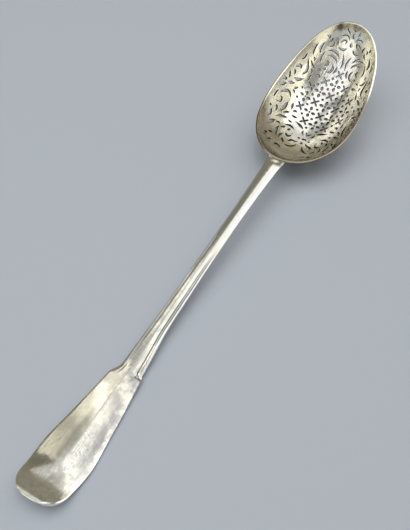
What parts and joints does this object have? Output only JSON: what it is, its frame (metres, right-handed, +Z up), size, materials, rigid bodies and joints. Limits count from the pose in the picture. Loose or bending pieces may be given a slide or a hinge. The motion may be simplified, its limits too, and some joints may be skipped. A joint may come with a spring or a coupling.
{
  "type": "olive spoon",
  "caption": "Long silver olive spoon with a deep egg-shaped bowl pierced with scrolls and a diaper of crosses, a slender stem, shouldered ribbed blade and upturned end.",
  "frame": {"origin": "on the table, under the middle of the spoon's length and width", "axes": "+X runs from the end of the handle to the tip of the bowl, +Y to the spoon's left, +Z up, with the bowl open upwards"},
  "size_m": [0.295, 0.0532, 0.0441],
  "materials": {
    "handle_silver": "aged silver, satin, with fine scratches and a warm tone",
    "bowl_silver": "aged silver, satin, with golden brown tarnish towards the rim and the heel",
    "solder": "silver solder, a little brighter and rougher than the silver it joins"
  },
  "bodies": {
    "root": {"bowl": "bowl_silver", "stem_handle": "handle_silver", "solder_seam": "solder"}
  },
  "joints": []
}
